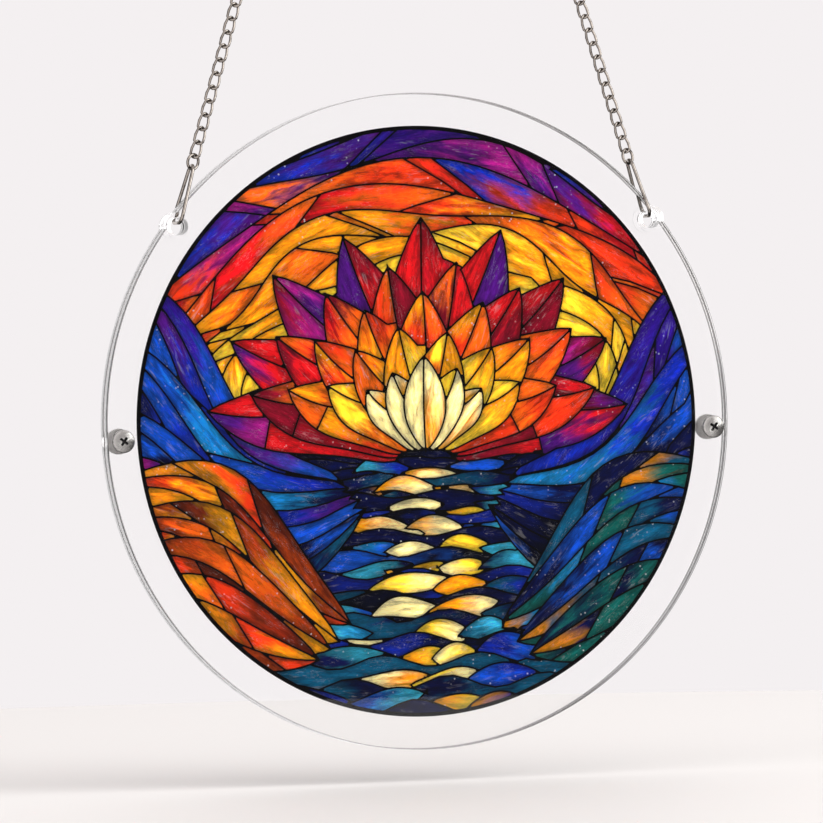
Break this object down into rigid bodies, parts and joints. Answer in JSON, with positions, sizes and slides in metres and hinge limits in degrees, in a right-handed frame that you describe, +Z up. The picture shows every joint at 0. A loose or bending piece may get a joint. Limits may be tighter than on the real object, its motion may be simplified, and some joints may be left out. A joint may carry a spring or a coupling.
{
  "type": "acrylic suncatcher",
  "caption": "Round hanging suncatcher: a printed film held between two clear acrylic plates by screws, hung by fine curb chains from a ring.",
  "frame": {"origin": "top of the inside of the hanging ring, where it bears on its hook", "axes": "+Z up, front of the plates towards -Y, +X to the right seen from the front"},
  "size_m": [0.18, 0.0098, 0.3746],
  "materials": {
    "acrylic": "clear cast acrylic, polished edges",
    "print": "glossy translucent print in stained glass colours with black lead lines",
    "steel": "bright zinc-plated steel, finely turned",
    "nickel": "bright nickel-plated wire"
  },
  "bodies": {
    "root": {"front_plate": "acrylic", "back_plate": "acrylic", "printed_film": "print", "screw_left": "steel", "screw_right": "steel", "cap_nut_left": "steel", "cap_nut_right": "steel", "long_link_left": "nickel", "long_link_right": "nickel", "lower_ring_left": "nickel", "lower_ring_right": "nickel", "chain_left": "nickel", "chain_right": "nickel", "upper_ring_left": "nickel", "upper_ring_right": "nickel", "hanging_ring": "nickel"}
  },
  "joints": []
}
